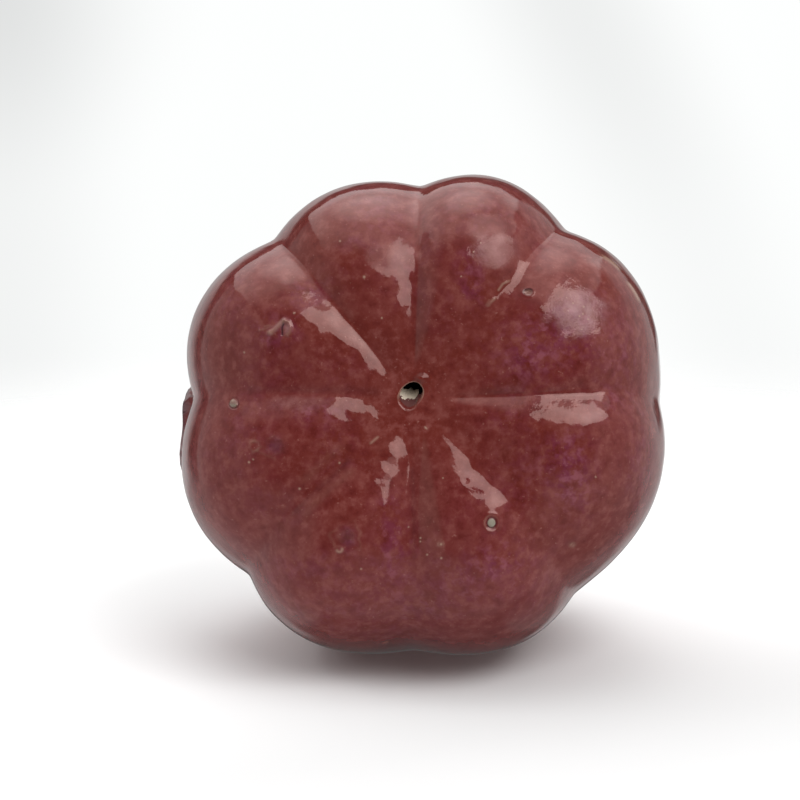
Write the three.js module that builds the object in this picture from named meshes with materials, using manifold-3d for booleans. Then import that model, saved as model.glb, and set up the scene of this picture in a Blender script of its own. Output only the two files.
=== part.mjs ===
// Hollow glazed ceramic fruit ornament: eight lobes, a short stem and one leaf
// pressed onto the clay, lying on its side on two small ground flats, with the
// vent hole of its base facing -Y. Fired as one piece, so it is one mesh.
// Millimetres, +Z up, origin under the middle of its bounding box.
import * as THREE from 'three';
import { mergeVertices } from 'three/addons/utils/BufferGeometryUtils.js';
import Module from 'manifold-3d';

// ---- driving dimensions -------------------------------------------------
const CREST_RADIUS = 55;        // widest radius, on top of a lobe
const BASE_TIP_UP = 16.94;      // degrees the base is tipped up by as it lies
const BASE_TURN = 4.08;         // degrees the base is turned towards -X
const FLAT_DEPTH = 0.45;        // ground off under the two lowest lobes
const VENT_DIAMETER = 6.4;      // vent hole through the base
const VENT_LENGTH = 30;         // of the cutting pin behind the mouth
const LEAF_THICKNESS = 1.1;     // clay leaf over the groove, away from its margin
const LEAF_LEAST = 0.7;         // what it stands out by over the lobes
const LEAF_MIDRIB = 0.5;        // midrib above the blade
const LEAF_HALF_WIDTH = 12.7;   // at its widest, near the tip
const LEAF_PHI = 265.5;         // degrees, side on which the leaf is draped
const SEGMENTS_PER_LOBE = 8;
const ROWS = 40;

// Profiles as (radius, distance from the base plane), for a crest radius of 50.
// They start in the middle of the base and end on top of the stem.
const CREST = [
  [0, 4.2], [5, 3.76], [11, 2.74], [18, 1.66], [25, 1.08], [32, 1.73], [38.5, 4.44],
  [44, 9.8], [48, 19], [50, 30], [49.3, 42], [46.7, 54], [42.7, 66], [37, 77],
  [29, 86], [20, 90.6], [12.5, 90.2], [8, 87.9], [5.2, 88.6], [4.4, 91.6],
  [4.3, 95.4], [4.9, 98.6], [4.0, 99.8], [0, 100],
];
const GROOVE = [
  [0, 4.2], [5, 3.79], [10.5, 3.77], [17, 3.59], [24, 3.6], [30.5, 4.67],
  [36.3, 7.59], [41.2, 12.92], [44.8, 20.62], [46.8, 32], [46.4, 43], [44, 54.5],
  [40, 66], [34.4, 76.5], [26.5, 84.5], [18, 88.1], [12, 88.2], [8, 87.2],
  [5.2, 88.4], [4.4, 91.6], [4.3, 95.4], [4.9, 98.6], [4.0, 99.8], [0, 100],
];
// Inside of the wall, about 5 mm under the bottom of the grooves.
const CAVITY = [
  [0, 9.6], [12, 9.6], [22, 10.4], [29, 12.2], [34, 15.4], [38, 20],
  [40.6, 26], [41.6, 33], [41.2, 43], [39, 53.5], [35.2, 64], [29.8, 73.5],
  [22.5, 80.2], [14, 83], [0, 83.6],
];
// Groove directions round the axis, in degrees from the top as it lies: near
// the vent and at the widest part. They wander a little, as hand-cut ones do.
const GROOVE_DEG_BASE = [2.58, 42.64, 88.65, 132.67, 178.66, 225.69, 271.12, 319.74];
const GROOVE_DEG_SIDE = [-0.7, 37.6, 86.1, 138.0, 180.8, 226.0, 272.8, 319.1];
// How much each lobe and each groove stands out, and which way a lobe leans.
const LOBE_SIZE = [1.003, 1.018, 0.996, 0.997, 1.01, 0.995, 0.998, 0.971];
const GROOVE_SIZE = [0.99, 1.014, 1.024, 1.003, 1.003, 1.006, 0.988, 0.989];
const LOBE_LEAN = [-0.08, 0.23, 0.48, 0.25, -0.25, 0.25, 0.06, 0.09];
const LOBE_FULLNESS = 0.936;    // under 1 makes the lobes fuller
const GROOVE_SOFTNESS = 0.1;    // rounding in the bottom of a groove
// The same for the base, where the grooves are broad and shallow: lean, height
// and fullness of each lobe, depth and rounding of each groove.
const BASE_LEAN = [0.205, -0.213, 0.596, 0.141, -0.247, 0.11, -0.382, 0.195];
const BASE_HEIGHT = [0.373, -0.576, -0.479, -0.686, -0.233, 0.142, 0.309, -0.575];
const BASE_FULLNESS = [0.816, 0.851, 0.722, 0.95, 0.95, 0.832, 0.845, 0.895];
const BASE_DEPTH = [-0.199, -0.973, -0.101, -0.341, 0.104, -1.046, -0.847, -0.589];
const BASE_SOFTNESS = [0.229, 0.217, 0.16, 0.273, 0.335, 0.192, 0.311, 0.14];

const SCALE = CREST_RADIUS / 50;

// ---- the lobed surface --------------------------------------------------
const curve = (table) => new THREE.SplineCurve(table.map(([r, w]) => new THREE.Vector2(r, w)));
const crestCurve = curve(CREST);
const grooveCurve = curve(GROOVE);
const smooth = (a, b, x) => THREE.MathUtils.smoothstep(x, a, b);

function grooveAngle(k, t) {
  const turn = k >= 8 ? 360 : 0;
  const f = smooth(0.06, 0.36, t);
  return turn + GROOVE_DEG_BASE[k % 8] * (1 - f) + GROOVE_DEG_SIDE[k % 8] * f;
}

// Roundness across a lobe: 0 in the groove, 1 on the crest.
const onBase = (t) => 1 - smooth(0.22, 0.36, t);
const between = (table, k, f) => table[k] * (1 - f) + table[(k + 1) % 8] * f;
function across(k, u, t) {
  const base = onBase(t);
  const lean = LOBE_LEAN[k] * smooth(0.1, 0.36, t) + BASE_LEAN[k] * base;
  const s = Math.sin(Math.PI * (u + lean * u * (1 - u)));
  const e = GROOVE_SOFTNESS * (1 - base) + between(BASE_SOFTNESS, k, smooth(0.2, 0.8, u)) * base;
  const b = (Math.hypot(s, e) - e) / (Math.hypot(1, e) - e);
  return Math.pow(Math.max(b, 0), LOBE_FULLNESS * (1 - base) + BASE_FULLNESS[k] * base);
}

// Radius, height and angle for lobe k, at fraction u across it, t along it.
function lobed(k, u, t) {
  const round = across(k, u, t);
  const c = crestCurve.getPoint(t);
  const g = grooveCurve.getPoint(t);
  const body = 1 - smooth(0.66, 0.76, t);
  const size = between(GROOVE_SIZE, k, u) * (1 - round) + LOBE_SIZE[k] * round;
  const r = (g.x + (c.x - g.x) * round) * (1 + (size - 1) * body);
  const w = g.y + (c.y - g.y) * round + onBase(t) * (
    between(BASE_DEPTH, k, u) * (1 - round) * smooth(0.03, 0.12, t)
    - BASE_HEIGHT[k] * round * smooth(0.03, 0.14, t));
  const phi = grooveAngle(k, t) * (1 - u) + grooveAngle(k + 1, t) * u;
  return { r: r * SCALE, w: w * SCALE, phi: THREE.MathUtils.degToRad(phi) };
}

// ---- how it lies --------------------------------------------------------
const tip = THREE.MathUtils.degToRad(BASE_TIP_UP);
const turned = THREE.MathUtils.degToRad(BASE_TURN);
const facing = new THREE.Vector3(
  -Math.sin(turned) * Math.cos(tip), -Math.cos(turned) * Math.cos(tip), Math.sin(tip));
const axis = facing.clone().negate();                       // base to stem
const up = new THREE.Vector3(0, 0, 1).addScaledVector(axis, -axis.z).normalize();
const side = new THREE.Vector3().crossVectors(up, facing).normalize();
if (side.x < 0) side.negate();

const place = ({ r, w, phi }) => new THREE.Vector3()
  .addScaledVector(axis, w)
  .addScaledVector(up, r * Math.cos(phi))
  .addScaledVector(side, r * Math.sin(phi));

// ---- closed meshes ------------------------------------------------------
const wasm = await Module();
wasm.setup();

function geometryOf(points, triangles) {
  const geometry = new THREE.BufferGeometry();
  geometry.setAttribute('position', new THREE.Float32BufferAttribute(points.flatMap((p) => [p.x, p.y, p.z]), 3));
  geometry.setIndex(triangles.flat());
  return geometry;
}

function volumeOf(points, triangles) {
  let sum = 0;
  for (const [a, b, c] of triangles) sum += points[a].dot(points[b].clone().cross(points[c]));
  return sum / 6;
}

function solidOf(geometry) {
  const bare = geometry.clone();
  bare.deleteAttribute('normal');
  bare.deleteAttribute('uv');
  const merged = mergeVertices(bare, 1e-5);
  const p = merged.getAttribute('position');
  return new wasm.Manifold(new wasm.Mesh({
    numProp: 3,
    vertProperties: new Float32Array(p.array),
    triVerts: new Uint32Array(merged.getIndex().array),
  }));
}

// A closed skin of rings between two end points, turned to face outwards.
function skin(rings, first, last) {
  const points = [first, ...rings.flat(), last];
  const n = rings[0].length;
  const at = (i, j) => 1 + i * n + (j % n);
  const triangles = [];
  for (let j = 0; j < n; j += 1) {
    triangles.push([0, at(0, j), at(0, j + 1)]);
    triangles.push([points.length - 1, at(rings.length - 1, j + 1), at(rings.length - 1, j)]);
  }
  for (let i = 0; i + 1 < rings.length; i += 1) {
    for (let j = 0; j < n; j += 1) {
      triangles.push([at(i, j), at(i + 1, j), at(i + 1, j + 1)]);
      triangles.push([at(i, j), at(i + 1, j + 1), at(i, j + 1)]);
    }
  }
  if (volumeOf(points, triangles) < 0) triangles.forEach((t) => t.reverse());
  return geometryOf(points, triangles);
}

// Outside of the body with its stem.
const rings = [];
for (let i = 1; i < ROWS; i += 1) {
  const t = i / ROWS;
  const ring = [];
  for (let k = 0; k < 8; k += 1) {
    for (let j = 0; j < SEGMENTS_PER_LOBE; j += 1) {
      ring.push(place(lobed(k, j / SEGMENTS_PER_LOBE, t)));
    }
  }
  rings.push(ring);
}
const outside = skin(rings, place(lobed(0, 0, 0)), place(lobed(0, 0, 1)));

// Hollow inside.
const hollowRings = CAVITY.slice(1, -1).map(([r, w]) => {
  const ring = [];
  for (let j = 0; j < 28; j += 1) {
    ring.push(place({ r: r * SCALE, w: w * SCALE, phi: (j / 28) * 2 * Math.PI }));
  }
  return ring;
});
const hollow = skin(
  hollowRings,
  place({ r: 0, w: CAVITY[0][1] * SCALE, phi: 0 }),
  place({ r: 0, w: CAVITY[CAVITY.length - 1][1] * SCALE, phi: 0 }));

// The leaf: its stalk end lies against the stem and its blunt tip just reaches
// the widest part of the body. f runs from stalk to tip, s across the blade.
const LEAF_T = [0.735, 0.392];
function leafHalf(f) {
  const g = Math.pow(0.03 + 0.97 * f, 1.45);
  const shape = g < 0.5
    ? Math.pow(Math.sin(Math.PI * g), 0.9)
    : Math.cbrt(Math.max(0, 1 - Math.pow(2 * g - 1, 3)));
  return 0.8 + (LEAF_HALF_WIDTH - 0.8) * shape;
}
// The body under the leaf, by direction: it lies where the grooves run straight.
function bodyAt(degrees, t) {
  const k = degrees < GROOVE_DEG_SIDE[6] ? 5 : 6;
  const from = GROOVE_DEG_SIDE[k];
  return lobed(k, (degrees - from) / (GROOVE_DEG_SIDE[k + 1] - from), t);
}
function leafPoint(f, s, thickness) {
  const t = LEAF_T[0] + (LEAF_T[1] - LEAF_T[0]) * f;
  const c = crestCurve.getPoint(t);
  const g = grooveCurve.getPoint(t);
  // the blade bridges the groove under it, and lies close over the lobes
  const span = 0.1 + 0.2 * s * s;
  const flat = new THREE.Vector2().lerpVectors(g, c, span).multiplyScalar(SCALE);
  const degrees = LEAF_PHI + THREE.MathUtils.radToDeg((s * leafHalf(f)) / Math.max(flat.x, 9));
  const under = bodyAt(degrees, t);
  const d = crestCurve.getTangent(t);
  const n = new THREE.Vector2(d.y, -d.x);
  let lift = thickness;
  if (thickness > 0) {
    const h = (flat.x - under.r) * n.x + (flat.y - under.w) * n.y + thickness;
    lift = 0.5 * (h + LEAF_LEAST + Math.hypot(h - LEAF_LEAST, 0.55));
  }
  return place({ r: under.r + n.x * lift, w: under.w + n.y * lift, phi: under.phi });
}
const LEAF_ROWS = 16;
const LEAF_COLUMNS = 8;
const leafRings = [];
for (let i = 0; i <= LEAF_ROWS; i += 1) {
  const f = i / LEAF_ROWS;
  const ring = [];
  for (let j = 0; j <= LEAF_COLUMNS; j += 1) {
    const s = (j / LEAF_COLUMNS) * 2 - 1;
    const edge = Math.sqrt(Math.max(0, 1 - Math.pow(Math.abs(s), 4)));
    const rib = LEAF_MIDRIB * Math.exp(-Math.pow((s * leafHalf(f)) / 1.6, 2));
    ring.push(leafPoint(f, s, LEAF_THICKNESS * (0.35 + 0.65 * edge) + rib));
  }
  for (let j = LEAF_COLUMNS; j >= 0; j -= 1) {
    ring.push(leafPoint(f, (j / LEAF_COLUMNS) * 2 - 1, -4.2));
  }
  leafRings.push(ring);
}
const centre = (ring) => ring.reduce((sum, p) => sum.add(p), new THREE.Vector3()).divideScalar(ring.length);
const leaf = skin(leafRings, centre(leafRings[0]), centre(leafRings[leafRings.length - 1]));

// The vent runs level, along +Y, from the middle of the base into the hollow.
const mouth = place(lobed(0, 0, 0));
const ventPin = new THREE.CylinderGeometry(VENT_DIAMETER / 2, VENT_DIAMETER / 2, VENT_LENGTH, 20);
ventPin.translate(mouth.x, mouth.y + VENT_LENGTH / 2 - 8, mouth.z);

// ---- join, hollow, vent, set down and grind the flats --------------------
let clay = solidOf(outside).add(solidOf(leaf)).subtract(solidOf(hollow)).subtract(solidOf(ventPin));

const low = clay.boundingBox().min[2] + FLAT_DEPTH;
const ground = new THREE.BoxGeometry(300, 300, 40);
ground.translate(0, 0, low - 20);
clay = clay.subtract(solidOf(ground));

const box = clay.boundingBox();
clay = clay.translate([
  -(box.min[0] + box.max[0]) / 2, -(box.min[1] + box.max[1]) / 2, -low]);

const mesh = clay.getMesh();
const fruitGeometry = new THREE.BufferGeometry();
fruitGeometry.setAttribute('position', new THREE.BufferAttribute(new Float32Array(mesh.vertProperties), 3));
fruitGeometry.setIndex(new THREE.BufferAttribute(new Uint32Array(mesh.triVerts), 1));
fruitGeometry.computeVertexNormals();

const fruit = new THREE.Mesh(fruitGeometry, new THREE.MeshStandardMaterial({
  color: 0x7a2a2c, roughness: 0.16, metalness: 0,
}));
fruit.name = 'ceramic_fruit';

const ornament = new THREE.Group();
ornament.name = 'fruit_ornament';
ornament.add(fruit);

export default ornament;
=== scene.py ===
import math

import bmesh
import bpy
import numpy as np
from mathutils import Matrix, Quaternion, Vector


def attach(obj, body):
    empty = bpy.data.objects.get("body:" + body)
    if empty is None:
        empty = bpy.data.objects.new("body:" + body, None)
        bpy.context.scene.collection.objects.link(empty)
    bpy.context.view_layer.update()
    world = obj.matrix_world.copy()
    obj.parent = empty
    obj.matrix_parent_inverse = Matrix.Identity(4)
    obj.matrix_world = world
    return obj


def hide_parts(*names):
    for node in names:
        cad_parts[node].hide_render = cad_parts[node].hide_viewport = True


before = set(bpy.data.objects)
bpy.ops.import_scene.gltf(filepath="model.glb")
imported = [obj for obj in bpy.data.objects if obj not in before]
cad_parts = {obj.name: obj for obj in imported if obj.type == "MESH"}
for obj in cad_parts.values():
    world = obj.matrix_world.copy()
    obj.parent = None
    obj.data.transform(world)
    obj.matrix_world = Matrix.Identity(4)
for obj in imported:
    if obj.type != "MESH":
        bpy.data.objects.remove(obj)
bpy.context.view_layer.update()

MM = 0.001

# ---------------------------------------------------------------- the lobed body
# Profiles as (radius, distance from the base plane) for a crest radius of 50,
# from the middle of the base to the top of the stem. Millimetres.
SCALE = 55.0 / 50.0
CREST = np.array([
    [0, 4.2], [5, 3.76], [11, 2.74], [18, 1.66], [25, 1.08], [32, 1.73], [38.5, 4.44],
    [44, 9.8], [48, 19], [50, 30], [49.3, 42], [46.7, 54], [42.7, 66], [37, 77],
    [29, 86], [20, 90.6], [12.5, 90.2], [8, 87.9], [5.2, 88.6], [4.4, 91.6],
    [4.3, 95.4], [4.9, 98.6], [4.0, 99.8], [0, 100]], float)
GROOVE = np.array([
    [0, 4.2], [5, 3.79], [10.5, 3.77], [17, 3.59], [24, 3.6], [30.5, 4.67],
    [36.3, 7.59], [41.2, 12.92], [44.8, 20.62], [46.8, 32], [46.4, 43], [44, 54.5],
    [40, 66], [34.4, 76.5], [26.5, 84.5], [18, 88.1], [12, 88.2], [8, 87.2],
    [5.2, 88.4], [4.4, 91.6], [4.3, 95.4], [4.9, 98.6], [4.0, 99.8], [0, 100]], float)
CAVITY = np.array([
    [12, 9.6], [22, 10.4], [29, 12.2], [34, 15.4], [38, 20], [40.6, 26],
    [41.6, 33], [41.2, 43], [39, 53.5], [35.2, 64], [29.8, 73.5], [22.5, 80.2],
    [14, 83]], float)
GROOVE_BASE = np.array([2.58, 42.64, 88.65, 132.67, 178.66, 225.69, 271.12, 319.74])
GROOVE_SIDE = np.array([-0.7, 37.6, 86.1, 138.0, 180.8, 226.0, 272.8, 319.1])
LOBE_SIZE = np.array([1.003, 1.018, 0.996, 0.997, 1.01, 0.995, 0.998, 0.971])
GROOVE_SIZE = np.array([0.99, 1.014, 1.024, 1.003, 1.003, 1.006, 0.988, 0.989])
LOBE_LEAN = np.array([-0.08, 0.23, 0.48, 0.25, -0.25, 0.25, 0.06, 0.09])
FULLNESS = 0.936
SOFTNESS = 0.1
# the same for the base, where the grooves are broad and shallow
BASE_LEAN = np.array([0.205, -0.213, 0.596, 0.141, -0.247, 0.11, -0.382, 0.195])
BASE_HEIGHT = np.array([0.373, -0.576, -0.479, -0.686, -0.233, 0.142, 0.309, -0.575])
BASE_FULLNESS = np.array([0.816, 0.851, 0.722, 0.95, 0.95, 0.832, 0.845, 0.895])
BASE_DEPTH = np.array([-0.199, -0.973, -0.101, -0.341, 0.104, -1.046, -0.847, -0.589])
BASE_SOFTNESS = np.array([0.229, 0.217, 0.16, 0.273, 0.335, 0.192, 0.311, 0.14])
TIP_UP = math.radians(16.94)
TURN = math.radians(4.08)
ORIGIN = np.array([-2.503202, -49.112381, 64.187642])   # middle of the base plane

FACE = np.array([-math.sin(TURN) * math.cos(TIP_UP), -math.cos(TURN) * math.cos(TIP_UP), math.sin(TIP_UP)])
AXIS = -FACE
UP = np.array([0.0, 0.0, 1.0]) - AXIS * AXIS[2]
UP /= np.linalg.norm(UP)
SIDE = np.cross(UP, FACE)
SIDE /= np.linalg.norm(SIDE)
if SIDE[0] < 0:
    SIDE = -SIDE

# ---------------------------------------------------------------- camera, as numbers
CAM = np.array([-4.62811, -678.76720, 174.22540])
AIM = np.array([-4.62811, -7.12831, 55.79734])
FOCAL = 3047.51                     # in pixels of an 800 by 800 image
VIEW = (AIM - CAM) / np.linalg.norm(AIM - CAM)
CAM_RIGHT = np.array([1.0, 0.0, 0.0])
CAM_UP = np.cross(CAM_RIGHT, VIEW)


def project(points):
    """Place of each point in the 800 by 800 frame, for setting marks where they sit."""
    q = points - CAM
    z = q @ VIEW
    return 400 + FOCAL * (q @ CAM_RIGHT) / z, 400 - FOCAL * (q @ CAM_UP) / z


def smooth(a, b, x):
    x = np.clip((x - a) / (b - a), 0, 1)
    return x * x * (3 - 2 * x)


def spline(table, t):
    t = np.asarray(t, float)
    n = len(table)
    p = (n - 1) * np.clip(t, 0, 1)
    i = np.minimum(np.floor(p).astype(int), n - 1)
    w = (p - i)[..., None]
    p0 = table[np.where(i == 0, i, i - 1)]
    p1 = table[i]
    p2 = table[np.where(i > n - 2, n - 1, i + 1)]
    p3 = table[np.where(i > n - 3, n - 1, i + 2)]
    v0 = (p2 - p0) * 0.5
    v1 = (p3 - p1) * 0.5
    return (2 * p1 - 2 * p2 + v0 + v1) * w ** 3 + (-3 * p1 + 3 * p2 - 2 * v0 - v1) * w ** 2 + v0 * w + p1


def lobed(c, t):
    """Radius, distance along the axis and direction of the surface at lobe c (0 to 8) and profile place t."""
    c = np.mod(c, 8.0)
    k = np.minimum(np.floor(c).astype(int), 7)
    u = c - k
    nxt = (k + 1) % 8
    base = 1 - smooth(0.22, 0.36, t)
    lean = LOBE_LEAN[k] * smooth(0.1, 0.36, t) + BASE_LEAN[k] * base
    s = np.sin(math.pi * (u + lean * u * (1 - u)))
    f = smooth(0.2, 0.8, u)
    e = SOFTNESS * (1 - base) + (BASE_SOFTNESS[k] * (1 - f) + BASE_SOFTNESS[nxt] * f) * base
    b = np.maximum((np.sqrt(s * s + e * e) - e) / (np.sqrt(1 + e * e) - e), 0) ** (FULLNESS * (1 - base) + BASE_FULLNESS[k] * base)
    crest = spline(CREST, t)
    groove = spline(GROOVE, t)
    body = 1 - smooth(0.66, 0.76, t)
    size = (GROOVE_SIZE[k] * (1 - u) + GROOVE_SIZE[nxt] * u) * (1 - b) + LOBE_SIZE[k] * b
    p = groove + (crest - groove) * b[..., None]
    r = p[..., 0] * (1 + (size - 1) * body)
    depth = BASE_DEPTH[k] * (1 - u) + BASE_DEPTH[nxt] * u
    w = p[..., 1] + base * (depth * (1 - b) * smooth(0.03, 0.12, t) - BASE_HEIGHT[k] * b * smooth(0.03, 0.14, t))
    f = smooth(0.06, 0.36, t)
    a0 = GROOVE_BASE[k] * (1 - f) + GROOVE_SIDE[k] * f
    a1 = GROOVE_BASE[nxt] * (1 - f) + GROOVE_SIDE[nxt] * f + np.where(k == 7, 360.0, 0.0)
    return r * SCALE, w * SCALE, np.radians(a0 * (1 - u) + a1 * u)


def place(r, w, phi):
    return ORIGIN + AXIS * w[..., None] + UP * (r * np.cos(phi))[..., None] + SIDE * (r * np.sin(phi))[..., None]


# ---------------------------------------------------------------- seeded noise
def _lattice(i, seed):
    n = (i[..., 0].astype(np.uint32) * np.uint32(0x8DA6B343)
         ^ i[..., 1].astype(np.uint32) * np.uint32(0xD8163841)
         ^ i[..., 2].astype(np.uint32) * np.uint32(0xCB1AB31F))
    n = n + np.uint32((seed * 0x9E3779B1) & 0xFFFFFFFF)
    n ^= n >> np.uint32(15)
    n = n * np.uint32(0x2C1B3C6D)
    n ^= n >> np.uint32(12)
    n = n * np.uint32(0x297A2D39)
    n ^= n >> np.uint32(15)
    return n


def noise(p, size, seed):
    """Gradient noise, about -1 to 1, with features of the given size in millimetres."""
    q = p / size
    i = np.floor(q).astype(np.int64)
    f = q - i
    e = f * f * f * (f * (f * 6 - 15) + 10)
    total = np.zeros(len(p))
    for dx in (0, 1):
        for dy in (0, 1):
            for dz in (0, 1):
                d = np.array([dx, dy, dz])
                h = _lattice(i + d, seed)
                g = np.stack([(h & np.uint32(1023)), (h >> np.uint32(10)) & np.uint32(1023),
                              (h >> np.uint32(20)) & np.uint32(1023)], -1).astype(float) / 511.5 - 1
                w = (np.where(dx, e[:, 0], 1 - e[:, 0]) * np.where(dy, e[:, 1], 1 - e[:, 1])
                     * np.where(dz, e[:, 2], 1 - e[:, 2]))
                total += w * np.einsum("ij,ij->i", g, f - d)
    return total * 1.4


# ---------------------------------------------------------------- leaf and stem
LEAF_PHI = math.radians(265.5)
LEAF_FROM, LEAF_TO = 0.735, 0.392    # profile places of its root and of its tip
LEAF_HALF = 12.7
LEAF_THICK = 1.1
LEAF_RIB = 0.5
LEAF_SAG, LEAF_SPREAD = 0.1, 0.2    # how far it bridges the groove, in its middle and more at its margins


def leaf_half(f):
    g = (0.03 + 0.97 * np.clip(f, 0, 1)) ** 1.45
    shape = np.where(g < 0.5, np.sin(math.pi * np.minimum(g, 0.5)) ** 0.9, np.cbrt(np.maximum(1 - (2 * g - 1) ** 3, 0)))
    return 0.8 + (LEAF_HALF - 0.8) * shape


ARC_T = np.linspace(0, 1, 8001)
_arc = spline(CREST, ARC_T) * SCALE
ARC_L = np.concatenate([[0], np.cumsum(np.hypot(*np.diff(_arc, axis=0).T))])


def surface(c, t):
    """Points of the outside, with leaf and stem, and how much of each point is leaf or stem."""
    r, w, phi = lobed(c, t)
    # the stem's ribs and its cut end
    stem = smooth(0.755, 0.80, t)
    rib = 0.035 * np.cos(5 * phi + 0.6) + 0.025 * np.cos(3 * phi + 2.1) + 0.015 * np.cos(9 * phi)
    r = r * (1 + rib * stem)
    w = w - 0.9 * smooth(5.2, 1.0, r) * smooth(0.9, 0.96, t) + 0.35 * np.cos(phi + 0.8) * smooth(0.86, 0.96, t)
    # the leaf, pressed down over the lobes
    f = (t - LEAF_FROM) / (LEAF_TO - LEAF_FROM)
    turn = np.mod(phi - LEAF_PHI + math.pi, 2 * math.pi) - math.pi
    x = turn * np.maximum(r, 9.0)
    run = np.interp(LEAF_FROM, ARC_T, ARC_L) - np.interp(t, ARC_T, ARC_L)      # mm from the root
    length = np.interp(LEAF_FROM, ARC_T, ARC_L) - np.interp(LEAF_TO, ARC_T, ARC_L)
    half = leaf_half(f) * (1 + 0.035 * np.sin(run * 0.62 + np.where(x > 0, 0.0, 1.7)) + 0.02 * np.sin(run * 1.45 + 2.0 * np.sign(x)))
    inside = np.minimum((half - np.abs(x)), np.minimum((length - run) * 1.0, run + 1.5))
    near = (np.abs(x) < half + 3) & (run > -4) & (run < length + 3)
    s = np.clip(x / half, -1.2, 1.2)
    crest = spline(CREST, t) * SCALE
    groove = spline(GROOVE, t) * SCALE
    env = groove + (crest - groove) * (LEAF_SAG + LEAF_SPREAD * s * s)[..., None]
    d = spline(CREST, t + 1e-3) - spline(CREST, t - 1e-3)
    d /= np.linalg.norm(d, axis=-1, keepdims=True) + 1e-12
    nr, nw = d[..., 1], -d[..., 0]
    thick = LEAF_THICK * (0.35 + 0.65 * np.sqrt(np.maximum(1 - np.minimum(np.abs(s), 1) ** 4, 0)))
    thick = thick + LEAF_RIB * np.exp(-(x / 1.5) ** 2) * smooth(length, length - 9, run)
    vein = np.mod(run - 0.9 * np.abs(x) + 60.0, 6.2) - 3.1
    thick = thick - 0.26 * np.exp(-(vein / 0.55) ** 2) * smooth(1.2, 3.0, np.abs(x)) * smooth(0.5, 2.5, inside)
    height = (env[..., 0] - r) * nr + (env[..., 1] - w) * nw + thick
    height = 0.5 * (height + 0.7 + np.sqrt((height - 0.7) ** 2 + 0.3))        # never under a thin leaf
    edge = np.clip((inside + 0.5) / 1.5, 0, 1)
    rise = np.sqrt(np.maximum(1 - (1 - edge) ** 2, 0)) * smooth(-0.7, 0.1, inside)
    lift = np.where(near, height * rise, 0.0)
    leaf = np.where(near, smooth(-0.4, 0.5, inside), 0.0)
    return place(r + lift * nr, w + lift * nw, phi), np.maximum(leaf, stem * 0.8), phi


# ---------------------------------------------------------------- grid of the outside
COLS = 8 * 40
HALF_COLS = COLS // 2
T_JOIN, T_STEM = 0.074, 0.715


def stations(t0, t1, spacing):
    t = np.linspace(t0, t1, 4001)
    arc = np.interp(t, ARC_T, ARC_L)
    steps = np.concatenate([[0], np.cumsum(np.diff(arc) / spacing(0.5 * (t[1:] + t[:-1])))])
    n = int(round(steps[-1]))
    return np.interp(np.linspace(0, steps[-1], n + 1), steps, t)


body_t = stations(T_JOIN, T_STEM, lambda t: 0.62 + 0.42 * smooth(0.27, 0.36, t) + 0.12 * smooth(0.40, 0.45, t) * smooth(0.62, 0.55, t))
stem_t = stations(T_STEM, 0.992, lambda t: 0.75 - 0.15 * smooth(0.75, 0.8, t))

TALL = 20.0                         # height of the parameter cylinder
bm = bmesh.new()


def ring(n, t):
    a = 2 * math.pi * np.arange(n) / n
    return [bm.verts.new((math.cos(x), math.sin(x), t * TALL)) for x in a]


def quads(lower, upper):
    n = len(lower)
    for j in range(n):
        bm.faces.new((lower[j], lower[(j + 1) % n], upper[(j + 1) % n], upper[j]))


def halve(fine, coarse):
    m = len(coarse)
    n = len(fine)
    for j in range(m):
        bm.faces.new((fine[2 * j], fine[2 * j + 1], fine[(2 * j + 2) % n], coarse[(j + 1) % m], coarse[j]))


rows = [ring(COLS, t) for t in body_t]
for a, b in zip(rows[:-1], rows[1:]):
    quads(a, b)
stem_rows = [ring(HALF_COLS, t) for t in stem_t[1:]]
halve(rows[-1], stem_rows[0])
for a, b in zip(stem_rows[:-1], stem_rows[1:]):
    quads(a, b)
tip = bm.verts.new((0, 0, TALL))
for j in range(HALF_COLS):
    bm.faces.new((stem_rows[-1][j], stem_rows[-1][(j + 1) % HALF_COLS], tip))


def parameters():
    co = np.array([v.co for v in bm.verts])
    return np.mod(np.arctan2(co[:, 1], co[:, 0]) / (2 * math.pi) * 8, 8), co[:, 2] / TALL


# ---------------------------------------------------------------- marks in the glaze
# Places in the 800 by 800 frame and radii in its pixels; about 4.7 pixels to a millimetre.
STILTS = [(491.4, 522.9, 4.1, 4.5), (233.5, 403.3, 4.2, 4.4), (528.1, 292.0, 4.9, 3.4)]
# pale specks; those inside the two frosted patches are painted glints
SPECKS_AND_GLINTS = [(425.8, 427.9, 1.1), (441.2, 544.2, 1.5), (427.2, 554.6, 1.0), (441.4, 558.0, 1.1), (364.2, 277.0, 1.4),
          (381.8, 318.0, 1.0), (340.0, 241.2, 1.0), (294.0, 313.0, 1.0), (244.2, 352.4, 1.0), (299.6, 488.8, 1.2),
          (339.5, 462.9, 1.0), (361.2, 569.0, 0.9), (595.6, 476.9, 0.9), (386.5, 643.1, 1.0), (420.6, 538.0, 1.0),
          (420.4, 541.5, 0.9), (248.9, 462.2, 1.2), (253.1, 459.4, 0.9), (443.0, 478.0, 0.8), (408.5, 527.0, 0.8),
          (584.0, 306.5, 0.8), (579.6, 316.2, 0.9), (588.4, 319.0, 0.8), (573.2, 303.4, 0.7), (583.0, 313.8, 0.8), (568.0, 311.0, 0.7),
          (566.5, 297.5, 0.6), (582.2, 329.5, 0.6), (473.4, 252.0, 0.8), (480.5, 243.0, 0.7), (461.0, 276.5, 0.7)]
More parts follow.
